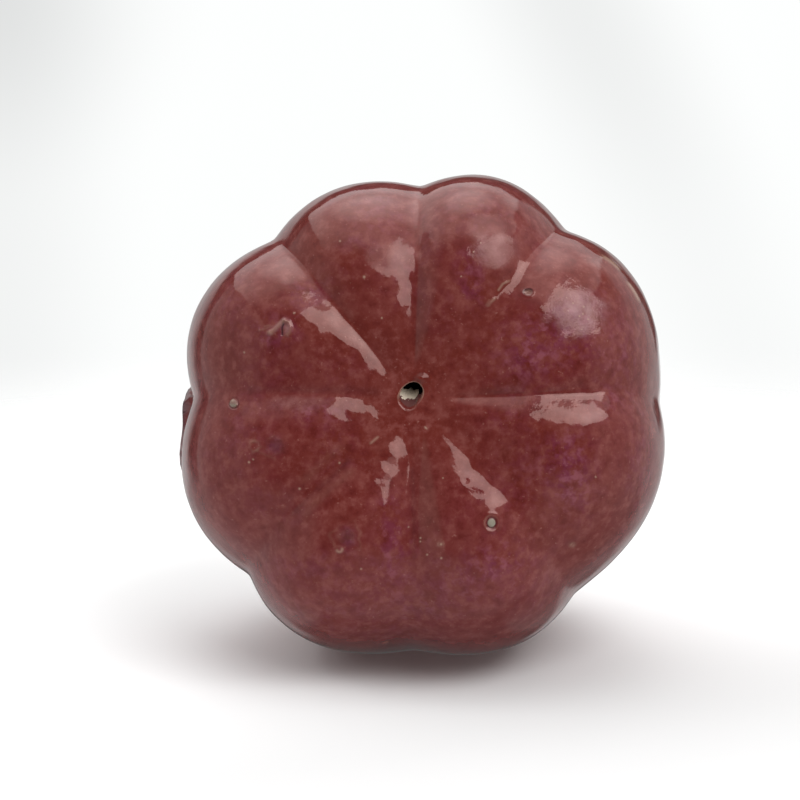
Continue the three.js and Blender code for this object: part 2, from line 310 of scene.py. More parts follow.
FINE = [(491.4, 522.6, 17), (233.2, 403.4, 13), (528.1, 292.0, 13), (281.5, 328.0, 15), (265.0, 328.5, 9),
        (255.5, 446.5, 9), (274.8, 446.0, 11), (266.0, 455.0, 10), (346.5, 537.5, 20), (339.4, 550.0, 8),
        (572.5, 545.0, 7), (610.0, 262.0, 12), (633.5, 291.0, 11), (391.5, 460.3, 8), (387.0, 477.2, 8), (466.0, 480.5, 7), (500.0, 288.0, 11)] + [(px, py, 4.0) for px, py, _ in SPECKS_AND_GLINTS]


def face_places():
    c, t = parameters()
    p, _, _ = surface(c, t)
    x, y = project(p)
    front = t < 0.33
    return x, y, front, t, c


for level in range(2):
    bm.verts.index_update()
    x, y, front, t, c = face_places()
    wanted = np.zeros(len(x), bool)
    for px, py, rad in FINE:
        wanted |= front & (np.hypot(x - px, y - py) < rad + (4 if level == 0 else 0))
    edges = [e for e in bm.edges if wanted[e.verts[0].index] and wanted[e.verts[1].index]]
    bmesh.ops.subdivide_edges(bm, edges=edges, cuts=1, use_grid_fill=True)
bm.verts.index_update()

C, T = parameters()
outside, made, PHI = surface(C, T)
faces = [[v.index for v in f.verts] for f in bm.faces]
bm.free()
join_ring = np.nonzero(np.abs(T - T_JOIN) < 1e-5)[0]
join_ring = [int(i) for i in join_ring[np.argsort(np.mod(C[join_ring] + 1e-4, 8))]]

verts = [outside]
count = len(outside)
leaf_stem = [made]
channel = [np.full(count, -99.0)]        # depth into the vent, mm


def add_ring(points, depth):
    global count
    first = count
    verts.append(points)
    leaf_stem.append(np.zeros(len(points)))
    channel.append(np.full(len(points), float(depth)))
    count += len(points)
    return list(range(first, count))


def bridge(a, b):
    n = len(a)
    for j in range(n):
        faces.append([a[j], a[(j + 1) % n], b[(j + 1) % n], b[j]])


# ---------------------------------------------------------------- the vent
# Radius of its mouth by direction (degrees clockwise from the top), mm.
MOUTH = np.array([[9.5, 3.32], [24, 3.34], [37, 3.15], [61, 2.75], [88, 2.11], [115, 1.76], [142, 1.75],
                  [161, 2.18], [194, 2.83], [212, 2.73], [235, 2.68], [267, 2.75], [293, 2.62], [328, 2.79]])
INWARD = np.array([0.12, 0.85, 0.5])
INWARD /= np.linalg.norm(INWARD)

vc = 8.0 * np.arange(HALF_COLS) / HALF_COLS
_, _, vphi = lobed(vc, np.full(HALF_COLS, T_JOIN))
deg = np.degrees(vphi) % 360
m = np.concatenate([MOUTH - [360, 0], MOUTH, MOUTH + [360, 0]])
mouth = np.interp(deg, m[:, 0], m[:, 1])
for _ in range(10):
    mouth = 0.5 * mouth + 0.25 * (np.roll(mouth, 1) + np.roll(mouth, -1))

tt = np.linspace(0, T_JOIN * 1.05, 400)
base_r = np.stack([lobed(np.full(400, c), tt)[0] for c in vc])      # radius by column and t


def base_point(radius):
    """Point of the base at this radius in each column, and its distance along the axis."""
    t = np.array([np.interp(radius[j], base_r[j], tt) for j in range(HALF_COLS)])
    r, w, _ = lobed(vc, t)
    return place(radius, w, vphi), w


_, _, join_phi = lobed(vc, np.full(HALF_COLS, T_JOIN))
join_r = lobed(vc, np.full(HALF_COLS, T_JOIN))[0]
collar = []
for f in np.linspace(0.93, 0.0, 15) ** 1.15:
    radius = (mouth + 0.34) * (1 - f) + join_r * f
    p, w = base_point(radius)
    gap = radius - mouth
    bump = 0.09 * np.exp(-((gap - 0.5) / 0.45) ** 2) + 0.08 * np.exp(-((gap - 2.2) / 0.8) ** 2)
    collar.append(p + FACE * bump[:, None])
ids = [add_ring(p, -1.0) for p in collar]
for j in range(HALF_COLS):
    n = COLS
    faces.append([join_ring[2 * j], join_ring[2 * j + 1], join_ring[(2 * j + 2) % n], ids[0][(j + 1) % HALF_COLS], ids[0][j]])
for a, b in zip(ids[:-1], ids[1:]):
    bridge(a, b)

lip_out = collar[-1]
edge_p, _ = base_point(mouth)
axis_point = ORIGIN + AXIS * 4.2 * SCALE


def channel_ring(depth):
    p = edge_p + INWARD * depth
    centre = axis_point + INWARD * depth
    return centre + (p - centre) * (0.97 - 0.02 * depth)


lip_in = channel_ring(0.5)
previous = ids[-1]
crown = edge_p + FACE * 0.10
for i, f in enumerate(np.linspace(0, 1, 8)[1:]):
    p = lip_out * (1 - f) ** 2 + 2 * crown * f * (1 - f) + lip_in * f ** 2
    now = add_ring(p, 0.6 * f)
    bridge(previous, now)
    previous = now
# the broken inner edge of the clay, by direction (degrees clockwise from the top), mm
BROKEN = np.array([[0, 1.9], [45, 1.5], [90, 1.5], [120, 2.5], [150, 5.0], [180, 6.6], [210, 6.4], [240, 5.0], [270, 3.4], [315, 2.4]])
m = np.concatenate([BROKEN - [360, 0], BROKEN, BROKEN + [360, 0]])
end_depth = np.interp(deg, m[:, 0], m[:, 1])
for _ in range(12):
    end_depth = 0.5 * end_depth + 0.25 * (np.roll(end_depth, 1) + np.roll(end_depth, -1))
end_depth = end_depth * (1 + 0.05 * np.sin(7 * vphi + 2.0) + 0.03 * np.sin(13 * vphi) + 0.02 * np.sin(23 * vphi + 1.0))
clay_sooner = 2.0 * smooth(205, 262, deg) * smooth(350, 300, deg)
for f in np.linspace(0.0, 1.0, 16)[1:]:
    depth = 0.5 + (end_depth - 0.5) * f
    rough_clay = 0.07 * smooth(2.5, 4.0, depth) * noise(edge_p + INWARD * depth[:, None], 1.1, 61)
    p = edge_p + INWARD * depth[:, None]
    centre = axis_point + INWARD * depth[:, None]
    now = add_ring(centre + (p - centre) * (0.97 - 0.02 * depth[:, None] + rough_clay[:, None]), 0.0)
    channel[-1] = depth + clay_sooner * smooth(0.8, 1.6, depth)
    bridge(previous, now)
    previous = now

# ---------------------------------------------------------------- the hollow inside
INNER = 40
inner_phi = vphi[::4]
first = True
for r, w in CAVITY * SCALE:
    pts = place(np.full(INNER, r), np.full(INNER, w), inner_phi)
    now = add_ring(pts, 50.0)
    if first:
        for j in range(INNER):
            n = HALF_COLS
            faces.append([previous[4 * j], previous[4 * j + 1], previous[4 * j + 2], previous[4 * j + 3],
                          previous[(4 * j + 4) % n], now[(j + 1) % INNER], now[j]])
        first = False
    else:
        bridge(previous, now)
    previous = now
end = add_ring((ORIGIN + AXIS * 83.6 * SCALE)[None], 50.0)[0]
for j in range(INNER):
    faces.append([previous[j], previous[(j + 1) % INNER], end])

P = np.concatenate(verts)
LEAF = np.concatenate(leaf_stem)
DEEP = np.concatenate(channel)
P[:, 2] = np.maximum(P[:, 2], 0.0)

mesh = bpy.data.meshes.new("ceramic_fruit_glazed")
mesh.from_pydata([tuple(v) for v in (P * MM)], [], faces)
b2 = bmesh.new()
b2.from_mesh(mesh)
bmesh.ops.recalc_face_normals(b2, faces=b2.faces)
b2.to_mesh(mesh)
b2.free()
mesh.update()


def normals():
    n = np.zeros(len(mesh.vertices) * 3, np.float32)
    mesh.vertices.foreach_get("normal", n)
    return n.reshape(-1, 3).astype(float)


N = normals()
X, Y = project(P)
FRONT = (DEEP < 0.3) & (np.einsum("ij,ij->i", N, CAM - P) > 0)
FRONT &= np.concatenate([T < 0.36, np.ones(len(P) - len(T), bool)])

# ---------------------------------------------------------------- relief of the clay and glaze
still = np.where(DEEP > -50, np.clip((-DEEP) * 0.0 + 0.35, 0, 1), 1.0)     # calmer round the vent
still = np.where(DEEP > 20, 0.0, still)
relief = still * (0.20 * noise(P, 19.0, 11) + 0.085 * noise(P, 8.5, 12) + 0.050 * noise(P, 4.2, 13) + 0.020 * noise(P, 2.4, 14))

# swellings and hollows of the hand-shaped lobes: place and spread in pixels of the frame, height in micrometres
SWELLINGS = [
    (367.7, 255.9, 6.0, -86), (392.4, 256.4, 8.8, 187), (400.5, 240.7, 5.3, -62), (417.9, 262.6, 8.3, 327),
    (421.4, 252.5, 5.0, -179), (458.4, 246.9, 11.5, -265), (473.7, 247.5, 5.6, -80), (476.6, 265.2, 5.0, -48),
    (480.9, 246.8, 5.2, 130), (483.8, 227.6, 8.3, -294), (491.8, 252.0, 5.0, 149), (497.0, 263.0, 11.5, 450),
    (500.2, 239.8, 6.5, 219), (516.9, 234.4, 7.1, 332), (285.3, 288.0, 5.7, 333), (304.1, 313.8, 5.0, 46),
    (306.6, 293.4, 7.4, -168), (310.4, 329.5, 5.0, -157), (313.5, 312.4, 18.0, -207), (315.0, 295.4, 7.7, -175),
    (315.6, 318.5, 5.7, -115), (319.0, 304.7, 6.5, -147), (325.1, 329.7, 5.0, -174), (329.6, 307.2, 5.0, -113),
    (340.5, 320.3, 6.4, -281), (371.7, 274.2, 7.2, 126), (387.0, 293.6, 5.0, -85), (398.2, 305.6, 5.6, 139),
    (398.6, 275.6, 5.0, 130), (413.7, 274.0, 5.0, 184), (432.8, 297.7, 17.9, 297), (498.7, 273.5, 5.0, 191),
    (552.3, 288.1, 5.0, 58), (564.6, 315.4, 6.6, 215), (569.6, 289.1, 5.0, 85), (571.4, 282.6, 6.7, -78),
    (574.3, 284.8, 6.7, -88), (583.1, 316.1, 13.8, -24), (587.3, 306.8, 5.0, -109), (595.7, 313.9, 14.5, -87),
    (596.1, 302.7, 5.1, -144), (321.8, 340.5, 6.2, -136), (337.2, 354.2, 18.0, -215), (361.5, 347.7, 5.3, 144),
    (370.6, 349.2, 10.5, -117), (374.7, 370.5, 5.0, -102), (377.8, 362.8, 5.0, -80), (386.2, 370.1, 5.0, -201),
    (537.4, 389.8, 11.7, 288), (554.7, 386.5, 8.6, 275), (564.0, 346.0, 15.1, -232), (567.1, 335.3, 7.5, 93),
    (570.3, 347.3, 17.8, -253), (589.0, 387.5, 5.0, 206), (595.9, 337.9, 8.5, 119), (603.0, 338.5, 5.0, 234),
    (324.2, 407.0, 5.0, 54), (337.5, 434.1, 8.7, -247), (345.9, 416.7, 5.0, -129), (351.5, 430.4, 5.4, -140),
    (358.0, 420.7, 6.4, -193), (358.1, 406.1, 5.3, -78), (371.8, 403.8, 8.1, -215), (404.8, 438.9, 5.0, -150),
    (414.0, 444.0, 9.1, 313), (460.1, 448.0, 5.0, -33), (530.7, 395.0, 5.0, 317), (533.5, 412.5, 5.4, -70),
    (541.6, 391.8, 5.0, 219), (543.0, 412.6, 9.1, -147), (548.6, 429.5, 5.0, -136), (556.1, 400.0, 6.5, -166),
    (559.4, 420.7, 5.0, -110), (565.5, 439.7, 13.2, -327), (566.9, 403.7, 6.8, -120),
    (581.4, 418.9, 5.8, 161), (584.8, 398.1, 12.5, -417), (587.8, 425.0, 5.0, 217), (601.3, 399.8, 5.0, -194),
    (604.6, 392.9, 5.4, 281), (614.1, 400.0, 12.8, 130), (616.1, 413.3, 5.0, 107), (372.7, 482.8, 5.2, 179),
    (378.5, 466.5, 5.0, 254), (387.2, 505.3, 6.1, 81), (388.1, 454.4, 6.5, 193), (402.1, 479.0, 15.6, 148),
    (405.9, 450.6, 5.0, -90), (449.6, 474.2, 5.0, 136), (469.2, 471.7, 5.0, -169), (471.8, 491.8, 5.0, -76),
    (472.0, 505.1, 7.2, -257), (477.9, 471.4, 5.0, -231), (481.1, 495.5, 5.0, -164), (490.1, 506.9, 7.5, 230),
    (497.4, 477.4, 6.4, 175), (513.1, 496.4, 5.0, 102), (494.6, 510.8, 12.2, 193)]
for px, py, spread, high in SWELLINGS:
    relief += np.where(FRONT, high * 0.001 * np.exp(-((X - px) ** 2 + (Y - py) ** 2) / (2 * spread * spread)), 0.0)

ATTR = {name: np.zeros(len(P)) for name in ("bare_and_reflection", "dark_and_shade", "pale_and_highlight", "frost_and_sheen", "matte", "violet", "plum")}
ATTR["plum"] = LEAF.copy()


def local(px, py, wide, tall):
    """Distance from a mark's middle, 1 at its edge, and direction, for points on the front."""
    a = (X - px) / wide
    b = -(Y - py) / tall
    d = np.where(FRONT, np.hypot(a, b), 1e3)
    return a, b, d


def bell(x, centre, width):
    return np.exp(-((x - centre) / width) ** 2)


def grow(name, value):
    ATTR[name] = np.maximum(ATTR[name], np.where(FRONT, value, 0.0))


# three stilt marks: bare clay in a moat of glaze; the glaze has run back over two of them. Some of their pale and dark
# parts are painted highlight and painted shade
for i, (px, py, wide, tall) in enumerate(STILTS):
    a, b, d = local(px, py, wide, tall)
    d = d * (1 + (0.0, 0.02, 0.04)[i] * np.sin(3 * np.arctan2(b, a) + i))
    if i == 0:
        shape = 0.16 * smooth(1.0, 0.8, d) - 0.20 * bell(d, 1.12, 0.20) + 0.15 * bell(d, 2.0, 0.42)
        grow("bare_and_reflection", (0.90 + 0.08 * noise(P, 0.4, 34)) * smooth(1.02, 0.84, d))
        # painted highlight: a faint pale ring round the moat, stronger on its left side
        grow("pale_and_highlight", 0.17 * bell(d, 1.72, 0.20) * (0.6 + 0.4 * smooth(0.3, -0.8, a)))
        grow("dark_and_shade", 0.50 * bell(d, 1.14, 0.14))
    elif i == 1:
        shape = 0.34 * np.sqrt(np.maximum(1 - np.minimum(d, 1) ** 2, 0)) - 0.14 * bell(d, 1.1, 0.2)
        # the bead's lower part is made paler as painted light, its top gets a painted highlight spot and its lower rim
        # painted shade
        grow("bare_and_reflection", (0.36 + 0.40 * smooth(0.1, -0.7, b)) * smooth(1.0, 0.8, d))
        grow("pale_and_highlight", 0.7 * bell(local(232.9, 400.8, 1.4, 1.3)[2], 0, 1.0))
        grow("dark_and_shade", 0.45 * bell(d, 1.08, 0.14) * smooth(0.9, -0.2, b))
    else:
        shape = -0.22 * smooth(1.0, 0.4, d) + 0.05 * bell(d, 1.25, 0.2)
        grow("bare_and_reflection", 0.32 * smooth(1.0, 0.7, d) * (0.75 + 0.25 * noise(P, 0.5, 33)))
        # a dark ring round the pit, heavier on its upper left as painted shade
        grow("dark_and_shade", 0.80 * bell(d, 0.95, 0.20) * (0.35 + 0.65 * smooth(-0.7, 0.5, b - a * 0.5)))
    relief += np.where(d < 6, shape, 0)


def track(line):
    """Distance in pixels from a line through the given places."""
    best = np.full(len(P), 1e3)
    for (x0, y0), (x1, y1) in zip(line[:-1], line[1:]):
        dx, dy = x1 - x0, y1 - y0
        f = np.clip(((X - x0) * dx + (Y - y0) * dy) / (dx * dx + dy * dy), 0, 1)
        best = np.minimum(best, np.hypot(X - x0 - f * dx, Y - y0 - f * dy))
    return np.where(FRONT, best, 1e3)


# a burst blister: a lip of clay on its left, a thin rim on its right, slots between, painted dark as shade
lip = track([(270.0, 332.8), (274.5, 329.6), (279.0, 325.4), (283.4, 321.4)])
rim = track([(285.0, 320.6), (288.4, 322.4), (290.2, 326.8), (289.6, 331.4), (287.4, 334.2)])
slot = track([(283.4, 324.0), (281.8, 328.0), (282.2, 334.8)])
end = local(270.6, 332.4, 3.0, 2.6)[2]
relief += 0.30 * bell(lip, 0, 2.4) + 0.12 * bell(end, 0, 0.9) + 0.34 * bell(rim, 0, 2.0) - 0.30 * bell(slot, 0, 1.0)
grow("pale_and_highlight", 0.36 * bell(lip, 0, 2.2))
grow("pale_and_highlight", 0.46 * bell(end, 0, 0.9))
grow("pale_and_highlight", 0.24 * bell(rim, 0, 1.8))
grow("pale_and_highlight", 0.26 * bell(local(286.8, 328.2, 3.2, 5.4)[2], 0, 1.0))
# painted shade in the slots
grow("dark_and_shade", 0.75 * bell(slot, 0, 0.9))
for line in ([(259.0, 330.4), (266.0, 328.4), (272.8, 326.0)], [(264.6, 326.4), (270.0, 325.2)]):
    scratch = track(line)
    relief += 0.035 * bell(scratch, 0, 1.0)
    grow("pale_and_highlight", 0.15 * bell(scratch, 0, 0.9))

# runs of glaze on one shoulder and small ridges, with painted highlights along them; the crease between two lobes, with
# painted shade in it and paler painted light beside it; painted shade along two grooves; and two dimples
for line, high, wide in [([(602.0, 256.0), (610.0, 261.0), (617.5, 268.0)], 0.16, 2.4), ([(628.5, 284.0), (633.5, 291.0), (637.5, 299.0)], 0.13, 2.2)]:
    relief += high * bell(track(line), 0, wide)
    # painted highlight along the run
    grow("pale_and_highlight", 0.62 * bell(track(line), 0, 1.4))
for line in ([(498.5, 290.0), (502.5, 284.0), (509.0, 281.0)], [(487.0, 306.0), (490.5, 301.5), (495.0, 298.5)], [(370.5, 443.3), (377.5, 437.4)]):
    relief += 0.08 * bell(track(line), 0, 1.4)
    # painted highlight along the ridge
    grow("pale_and_highlight", 0.42 * bell(track(line), 0, 1.1))
crease = track([(348.0, 461.0), (334.0, 475.0), (317.0, 490.0), (303.0, 503.0), (294.0, 513.0)])
relief -= 0.09 * bell(crease, 0, 4.0)
# painted shade in the bottom of the crease
grow("dark_and_shade", 0.19 * bell(crease, 0, 2.8))
# paler bands beside the crease as painted light
for line, amount in [([(338.0, 448.0), (322.0, 462.0), (305.0, 480.0)], 0.045), ([(350.0, 472.0), (335.0, 485.0), (318.0, 500.0), (306.0, 513.0)], 0.060)]:
    grow("pale_and_highlight", amount * bell(track(line), 0, 4.4))
# painted shade along the left groove
grow("dark_and_shade", 0.17 * bell(track([(250.0, 389.0), (300.0, 389.5), (345.0, 389.8), (376.0, 391.5)]), 0, 4.4))
grow("dark_and_shade", 0.07 * bell(local(387.0, 350.0, 22.0, 26.0)[2], 0, 1.0))
# painted shade along the lowest groove
grow("dark_and_shade", 0.17 * bell(track([(412.0, 470.0), (413.8, 505.0), (414.4, 556.0)]), 0, 3.2))
for px, py, rad, deep in [(391.0, 460.3, 3.6, 0.012), (387.0, 477.2, 3.4, 0.010), (466.0, 480.5, 3.4, 0.13)]:
    relief -= deep * bell(local(px, py, rad, rad)[2], 0, 1.0)

# painted reflection: a greyer streak down the lowest groove, mixed toward the bare clay colour
reflection_left = np.interp(Y, [436, 500, 560], [423.0, 418.5, 418.5])
reflection_right = np.interp(Y, [436, 500, 560], [425.5, 436.5, 446.0])
groove_reflection = smooth(-1.0, 1.5, X - reflection_left) * smooth(3.0, -3.0, X - reflection_right) * smooth(432, 442, Y) * smooth(578, 545, Y)
grow("bare_and_reflection", 0.044 * groove_reflection)

# healed blisters: rings in the glaze and the stained spots inside and beside them
for px, py, rad, wide, high, tone, dip in [
        (255.3, 445.6, 5.0, 2.0, 0.06, 0.20, 0.05), (274.9, 445.6, 9.0, 1.6, 0.03, 0.05, 0.10),
        (347.0, 536.8, 14.3, 2.2, 0.05, 0.07, 0.02), (347.0, 536.8, 7.4, 1.8, 0.03, 0.04, 0.10),
        (441.2, 544.2, 2.8, 1.0, 0.05, 0.25, 0.0)]:
    a, b, d = local(px, py, 1.0, 1.0)
    ragged = d * (1 + 0.12 * np.sin(3 * np.arctan2(b, a) + px) + 0.08 * np.sin(7 * np.arctan2(b, a) + py))
    relief += np.where(d < 40, high * bell(ragged, rad, wide) - dip * smooth(rad, rad * 0.5, ragged), 0)
    grow("pale_and_highlight", tone * bell(ragged, rad, wide * 0.8) * (0.55 + 0.45 * np.sin(2 * np.arctan2(b, a) + px)))
bead_a, bead_b, bead_d = local(339.4, 549.2, 1.0, 1.0)
# a raised crescent on the lower side of a small bead, painted pale as a highlight
crescent_and_highlight = bell(bead_d, 2.6, 1.4) * smooth(2.0, -0.8, bead_b - 0.3 * bead_a)
relief += 0.16 * crescent_and_highlight
grow("pale_and_highlight", 0.48 * crescent_and_highlight)
crack = track([(257.5, 450.8), (266.0, 455.2), (274.5, 458.6)])
grow("pale_and_highlight", 0.06 * bell(crack, 0, 1.6))
relief += 0.03 * bell(crack, 0, 1.2)

# thin glaze on the upper edge of the vent, and a drip beside it
edge_of_vent = (DEEP >= 0.0) & (DEEP < 0.7)
ATTR["pale_and_highlight"] = np.maximum(ATTR["pale_and_highlight"], np.where(edge_of_vent, 0.40 * smooth(404, 392, Y), 0.0))
relief += np.where(FRONT & (DEEP < -0.5), 0.72 * bell(local(420.5, 378.6, 6.4, 4.6)[2], 0, 1.0), 0.0) * smooth(-0.2, 1.2, np.hypot(X - 411, Y - 396) / 4.7 - 2.9)

# pinholes, specks with painted glints among them, and a scuff
for px, py, rad in SPECKS_AND_GLINTS:
    a, b, d = local(px, py, rad, rad)
    grow("pale_and_highlight", 0.85 * bell(d, 0, 0.85))
    relief += 0.04 * bell(d, 0, 1.1)
a, b, d = local(572.5, 545.0, 3.2, 2.4)
grow("pale_and_highlight", 0.55 * bell(d, 0, 1.0) * (0.55 + 0.45 * noise(P, 0.5, 31)))

# where the glaze has turned violet, and where it is frosted with crystals; the frosted patches also carry a painted
# sheen
VIOLET = [(473, 263, 20, 16, 0.7), (470, 292, 16, 14, 0.8), (357, 241, 16, 12, 0.45), (574, 311, 26, 20, 0.75), (529, 352, 30, 24, 1.0),
          (560, 335, 34, 20, 0.7), (614, 352, 26, 24, 0.5), (610, 402, 20, 20, 0.5), (569, 446, 22, 18, 0.8),
          (572, 485, 24, 34, 0.9), (503, 560, 26, 24, 0.95), (466, 579, 30, 22, 0.6), (388, 512, 14, 26, 0.65),
          (395, 560, 16, 30, 0.65), (321, 566, 26, 14, 0.45), (281, 570, 24, 16, 0.4), (312, 412, 24, 10, 0.75),
          (276, 331, 20, 13, 1.3), (306, 297, 16, 14, 0.8), (275, 446, 8, 8, 0.9), (347, 537, 9, 9, 1.0),
          (501, 417, 20, 12, 0.3), (640, 470, 14, 40, 0.4), (430, 600, 40, 20, 0.4), (350, 610, 60, 20, 0.35),
          (480, 215, 34, 18, 0.4), (380, 215, 30, 14, 0.3), (233, 300, 16, 30, 0.3), (520, 470, 30, 30, 0.3)]
for px, py, wide, tall, amount in VIOLET:
    a, b, d = local(px, py, wide, tall)
    ATTR["violet"] += np.where(FRONT, amount * np.exp(-d * d), 0.0)
ATTR["violet"] += np.where(DEEP < -50, 0.32 * np.clip(noise(P, 15.0, 41) + 0.25, 0, 1), 0.0)
for px, py, rad, amount in [(275.0, 445.6, 8.0, 0.40), (347.0, 537.4, 8.0, 0.40)]:
    grow("plum", amount * np.exp(-local(px, py, rad, rad)[2] ** 2))
for px, py, wide, tall, amount in [(577, 313, 32, 24, 0.85), (584, 312, 15, 14, 1.0), (496, 251, 25, 19, 0.34), (486, 251, 13, 11, 0.50), (300, 404, 34, 9, 0.24)]:
    a, b, d = local(px, py, wide, tall)
    grow("frost_and_sheen", amount * smooth(1.25, 0.45, d + 0.40 * noise(P, 2.6, 51)))

for px, py, wide, tall, amount in [(480, 224, 17, 12, 0.9), (497, 224, 12, 12, 0.9), (496, 252, 22, 18, 0.70), (380, 254, 17, 14, 0.58), (402, 246, 13, 13, 0.24), (391.2, 460.3, 3.9, 3.3, 1.0), (387.2, 477.2, 3.6, 3.0, 0.8)]:
    a, b, d = local(px, py, wide, tall)
    grow("matte", amount * smooth(1.55, 0.35, d + 0.20 * noise(P, 2.6, 52)))

mesh.vertices.foreach_set("co", ((P + N * relief[:, None]) * np.array([1, 1, 1]) * MM).astype(np.float32).ravel())
mesh.update()


co = np.zeros(len(mesh.vertices) * 3, np.float32)
mesh.vertices.foreach_get("co", co)
co = co.reshape(-1, 3)
co[:, 2] = np.maximum(co[:, 2], 0.0)
mesh.vertices.foreach_set("co", co.ravel())
for poly in mesh.polygons:
    poly.use_smooth = True
for name, values in ATTR.items():
    layer = mesh.attributes.new(name, "FLOAT", "POINT")
    layer.data.foreach_set("value", np.clip(values, 0, 1).astype(np.float32))
inside = mesh.attributes.new("depth", "FLOAT", "POINT")
inside.data.foreach_set("value", np.clip(DEEP, -1, 60).astype(np.float32))
mesh.update()

fruit = bpy.data.objects.new("ceramic_fruit_glazed", mesh)
bpy.context.scene.collection.objects.link(fruit)


# ---------------------------------------------------------------- materials
def new_material(name):
    mat = bpy.data.materials.new(name)
    mat.use_nodes = True
    tree = mat.node_tree
    return mat, tree, tree.nodes["Principled BSDF"]


def node(tree, kind, **values):
    n = tree.nodes.new(kind)
    for key, value in values.items():
        setattr(n, key, value)
    return n


def mix(tree, factor, a, b, blend="MIX"):
    n = node(tree, "ShaderNodeMix", data_type="RGBA", blend_type=blend)
    for socket, value in ((n.inputs[0], factor), (n.inputs[6], a), (n.inputs[7], b)):
        if hasattr(value, "is_output"):
            tree.links.new(value, socket)
        elif isinstance(value, (int, float)):
            socket.default_value = value
        else:
            socket.default_value = (*value, 1)
    return n.outputs[2]


def maths(tree, op, a, b=None, c=None, clamp=False):
    n = node(tree, "ShaderNodeMath", operation=op, use_clamp=clamp)
    for i, value in enumerate((a, b, c)):
        if value is None:
            continue
        if hasattr(value, "is_output"):
            tree.links.new(value, n.inputs[i])
        else:
            n.inputs[i].default_value = value
    return n.outputs[0]


def remap(tree, value, a, b, lo=0.0, hi=1.0):
    n = node(tree, "ShaderNodeMapRange", interpolation_type="SMOOTHSTEP")
    tree.links.new(value, n.inputs[0])
    for i, v in zip((1, 2, 3, 4), (a, b, lo, hi)):
        n.inputs[i].default_value = v
    return n.outputs[0]


def clouds(tree, coord, size_mm, detail=2.0, rough=0.5, distort=0.0):
    n = node(tree, "ShaderNodeTexNoise")
    tree.links.new(coord, n.inputs["Vector"])
    n.inputs["Scale"].default_value = 1.0 / (size_mm * MM)
    n.inputs["Detail"].default_value = detail
    n.inputs["Roughness"].default_value = rough
    n.inputs["Distortion"].default_value = distort
    return n.outputs["Fac"]


def attribute(tree, name):
    n = node(tree, "ShaderNodeAttribute", attribute_name=name)
    return n.outputs["Fac"]


glaze, tree, shader = new_material("oxblood_glaze")
coord = node(tree, "ShaderNodeTexCoord").outputs["Object"]
wide = clouds(tree, coord, 26, 3, 0.5)
mid = clouds(tree, coord, 6, 4, 0.6)
fine = clouds(tree, coord, 2.4, 4, 0.62)
grain = clouds(tree, coord, 0.75, 2, 0.5)
colour = mix(tree, remap(tree, wide, 0.35, 0.65), (0.148, 0.0228, 0.0166), (0.156, 0.0250, 0.0228))
violet = maths(tree, "MULTIPLY", attribute(tree, "violet"), remap(tree, clouds(tree, coord, 2.6, 4, 0.65), 0.38, 0.62))
colour = mix(tree, violet, colour, (0.160, 0.026, 0.054))
colour = mix(tree, remap(tree, mid, 0.42, 0.70, 0.0, 0.6), colour, (0.199, 0.0465, 0.0395))
colour = mix(tree, remap(tree, mid, 0.46, 0.26, 0.0, 0.5), colour, (0.119, 0.0138, 0.0117))
colour = mix(tree, remap(tree, fine, 0.46, 0.74, 0.0, 0.88), colour, (0.233, 0.0635, 0.055))
flecks = maths(tree, "MULTIPLY", attribute(tree, "violet"), remap(tree, clouds(tree, coord, 2.1, 3, 0.55), 0.48, 0.68, 0.0, 0.60))
colour = mix(tree, flecks, colour, (0.285, 0.085, 0.118))
colour = mix(tree, remap(tree, fine, 0.50, 0.26, 0.0, 0.72), colour, (0.104, 0.0117, 0.010))
high = node(tree, "ShaderNodeSeparateXYZ")
tree.links.new(coord, high.inputs[0])
# painted light: the lowest parts lighter and pinker for light bounced up from the floor, the top a little lighter and
# warmer for light from above
colour = mix(tree, remap(tree, high.outputs[2], 0.0, 0.050, 0.17, 0.0), colour, (0.28, 0.062, 0.074))
colour = mix(tree, remap(tree, high.outputs[2], 0.062, 0.088, 0.0, 0.06), colour, (0.28, 0.075, 0.062))
colour = mix(tree, remap(tree, grain, 0.66, 0.80, 0.0, 0.5), colour, (0.34, 0.14, 0.12))
# frosted glaze made greyer and hazier; the haze is partly a painted sheen of blurred highlights
colour = mix(tree, maths(tree, "MULTIPLY", attribute(tree, "frost_and_sheen"), remap(tree, fine, 0.35, 0.65, 0.10, 0.42)), colour, (0.30, 0.190, 0.215))
colour = mix(tree, attribute(tree, "plum"), colour, (0.085, 0.040, 0.048))
# pale marks and painted highlights, dark marks and painted shade, bare clay and a painted reflection
colour = mix(tree, attribute(tree, "pale_and_highlight"), colour, (0.46, 0.31, 0.23))
colour = mix(tree, attribute(tree, "dark_and_shade"), colour, (0.030, 0.016, 0.022))
colour = mix(tree, attribute(tree, "bare_and_reflection"), colour, (0.275, 0.265, 0.205))
colour = mix(tree, remap(tree, attribute(tree, "depth"), 0.5, 1.4, 0.0, 0.75), colour, (0.135, 0.062, 0.060))
clay = remap(tree, maths(tree, "ADD", attribute(tree, "depth"), maths(tree, "MULTIPLY", clouds(tree, coord, 0.8, 3), 3.2)), 4.7, 5.0)
colour = mix(tree, clay, colour, (0.78, 0.68, 0.54))
tree.links.new(colour, shader.inputs["Base Color"])
shader.inputs["IOR"].default_value = 1.55
shader.inputs["Specular Tint"].default_value = (1.0, 0.74, 0.69, 1)
rough = maths(tree, "MAXIMUM", maths(tree, "MULTIPLY", attribute(tree, "bare_and_reflection"), 0.55), maths(tree, "MULTIPLY", clay, 0.8))
rough = maths(tree, "MAXIMUM", rough, maths(tree, "MULTIPLY", attribute(tree, "frost_and_sheen"), 0.36))
rough = maths(tree, "MAXIMUM", rough, maths(tree, "MULTIPLY", attribute(tree, "matte"), 0.50))
